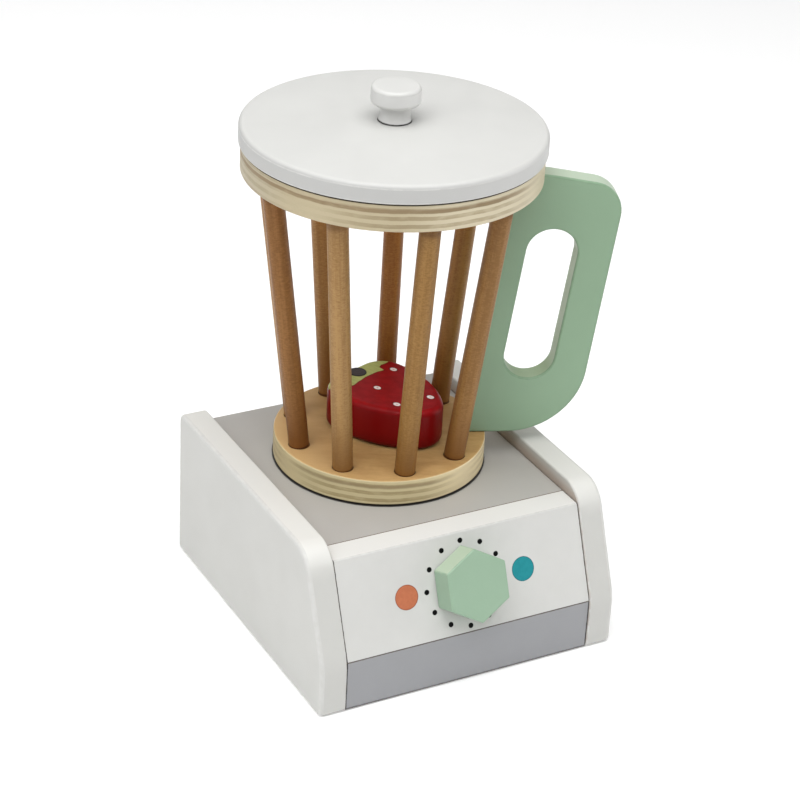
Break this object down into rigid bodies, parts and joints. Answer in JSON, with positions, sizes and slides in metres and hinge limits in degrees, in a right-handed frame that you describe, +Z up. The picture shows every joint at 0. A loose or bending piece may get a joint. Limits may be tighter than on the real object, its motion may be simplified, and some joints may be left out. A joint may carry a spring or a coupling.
{
  "type": "toy blender",
  "caption": "Wooden toy blender: box base with a turning hexagonal knob on its sloped front, lift-off jug with dowel cage and flat handle, knobbed lid, toy strawberry inside.",
  "frame": {"origin": "middle of the base box's footprint, on the surface the toy stands on, which is the flush underside of the floor panel and the side panels", "axes": "+Z up; -Y towards the front with the speed knob; +X to the right as seen from the front"},
  "size_m": [0.1644, 0.1635, 0.2379],
  "materials": {
    "white_paint": "satin white paint on wood",
    "grey_paint": "satin light grey paint on wood",
    "mint_paint": "satin mint green paint on wood",
    "plywood": "clear satin lacquer, layered edge",
    "beech": "clear satin lacquer",
    "bare_wood": "bare sanded wood",
    "strawberry_paint": "gloss red paint on wood",
    "stem_paint": "dark grey paint on wood",
    "steel": "zinc plated"
  },
  "bodies": {
    "base": {"left_side_panel": "white_paint", "right_side_panel": "white_paint", "deck_panel": "grey_paint", "kick_panel": "grey_paint", "back_panel": "white_paint", "front_panel": "white_paint", "floor_panel": "bare_wood", "glue_blocks": "bare_wood", "floor_screws": "steel", "panel_pins": "beech"},
    "knob": {"speed_knob": "mint_paint", "knob_spindle": "beech", "spindle_washer": "steel", "spindle_screw": "steel"},
    "jug": {"jug_base_disc": "plywood", "jug_ring": "plywood", "jug_dowel_1": "beech", "jug_dowel_2": "beech", "jug_dowel_3": "beech", "jug_dowel_4": "beech", "jug_dowel_5": "beech", "jug_dowel_6": "beech", "jug_dowel_7": "beech", "jug_dowel_8": "beech", "jug_handle": "mint_paint", "handle_pins": "beech"},
    "lid": {"lid_disc": "white_paint", "lid_plug": "bare_wood", "lid_knob": "white_paint", "lid_screw": "steel"},
    "strawberry": {"strawberry_block": "strawberry_paint", "strawberry_stem": "stem_paint"}
  },
  "joints": [
    {"name": "knob_turn", "type": "hinge", "parent": "base", "child": "knob", "pos_m": [0, -0.06508, 0.04409], "axis": [0, -0.9272, 0.3746], "continuous": true},
    {"name": "jug_lift", "type": "slide", "parent": "base", "child": "jug", "axis": [0, 0, 1], "range_m": [0, 0.12]},
    {"name": "lid_lift", "type": "slide", "parent": "jug", "child": "lid", "axis": [0, 0, 1], "range_m": [0, 0.06]},
    {"name": "strawberry_lift", "type": "slide", "parent": "jug", "child": "strawberry", "axis": [0, 0, 1], "range_m": [0, 0.1]}
  ]
}
